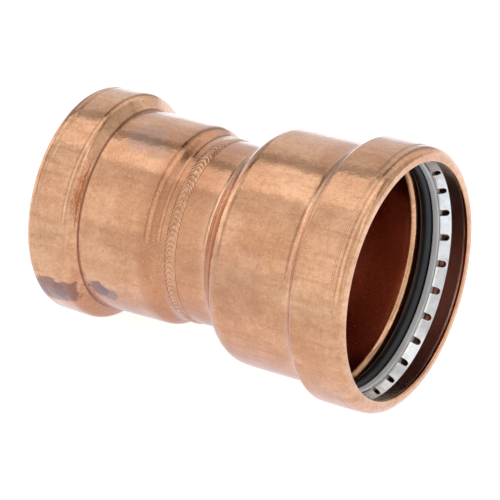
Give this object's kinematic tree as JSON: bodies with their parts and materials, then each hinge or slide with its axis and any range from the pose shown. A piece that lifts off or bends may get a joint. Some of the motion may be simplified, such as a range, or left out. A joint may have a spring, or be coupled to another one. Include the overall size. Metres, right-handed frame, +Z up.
{
  "type": "reducing coupling",
  "caption": "Copper press coupling that joins a large pipe to a smaller one, with a beaded socket at each end holding a seal, a separator ring and a toothed grip ring.",
  "frame": {"origin": "on the axis of the coupling, halfway between the two mouth faces", "axes": "+X along the axis, out of the large mouth; +Z up as the coupling lies in the picture; +Y completes the right-handed set"},
  "size_m": [0.1296, 0.093, 0.093],
  "materials": {
    "copper": null,
    "weld_copper": "rippled copper weld, satin",
    "seal_rubber": "black EPDM rubber, lightly lubricated",
    "separator_plastic": "pale grey moulded plastic",
    "grip_steel": "bright cold-rolled stainless strip"
  },
  "bodies": {
    "coupling_body": {"large_shell": "copper", "small_shell": "copper", "weld_bead": "weld_copper", "large_seal": "seal_rubber", "small_seal": "seal_rubber"},
    "large_separator_body": {"large_separator": "separator_plastic"},
    "large_grip_body": {"large_grip_ring": "grip_steel"},
    "small_separator_body": {"small_separator": "separator_plastic"},
    "small_grip_body": {"small_grip_ring": "grip_steel"}
  },
  "joints": [
    {"name": "large_separator_turn", "type": "hinge", "parent": "coupling_body", "child": "large_separator_body", "pos_m": [0.052, 0, 0], "axis": [1, 0, 0], "continuous": true},
    {"name": "large_grip_turn", "type": "hinge", "parent": "coupling_body", "child": "large_grip_body", "pos_m": [0.058, 0, 0], "axis": [1, 0, 0], "continuous": true},
    {"name": "small_separator_turn", "type": "hinge", "parent": "coupling_body", "child": "small_separator_body", "pos_m": [-0.054, 0, 0], "axis": [1, 0, 0], "continuous": true},
    {"name": "small_grip_turn", "type": "hinge", "parent": "coupling_body", "child": "small_grip_body", "pos_m": [-0.059, 0, 0], "axis": [1, 0, 0], "continuous": true}
  ]
}
